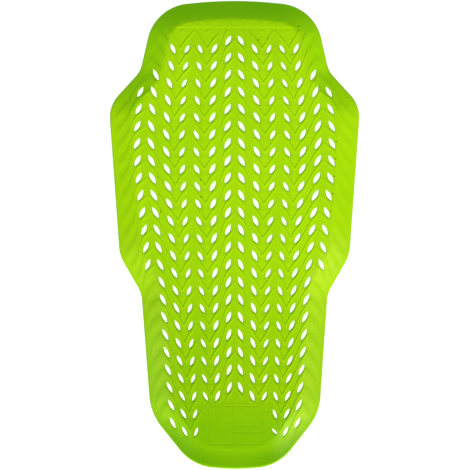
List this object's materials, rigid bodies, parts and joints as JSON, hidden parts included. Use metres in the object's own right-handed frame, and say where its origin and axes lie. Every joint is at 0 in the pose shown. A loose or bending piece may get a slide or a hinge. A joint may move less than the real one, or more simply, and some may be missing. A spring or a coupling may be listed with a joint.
{
  "type": "back protector insert",
  "caption": "One-piece moulded back protector insert: perforated chevron field, falling rim, waisted outline and upswept tail.",
  "frame": {"origin": "middle of the pad in plan, on the surface that its rim rests on", "axes": "+X toward one shoulder, +Y toward the neck edge, +Z away from the wearer's back; the pad lies with its outer side up"},
  "size_m": [0.2396, 0.4482, 0.0432],
  "materials": {
    "moulded_foam": "satin lime green moulded foam skin"
  },
  "bodies": {
    "root": {"pad": "moulded_foam"}
  },
  "joints": []
}
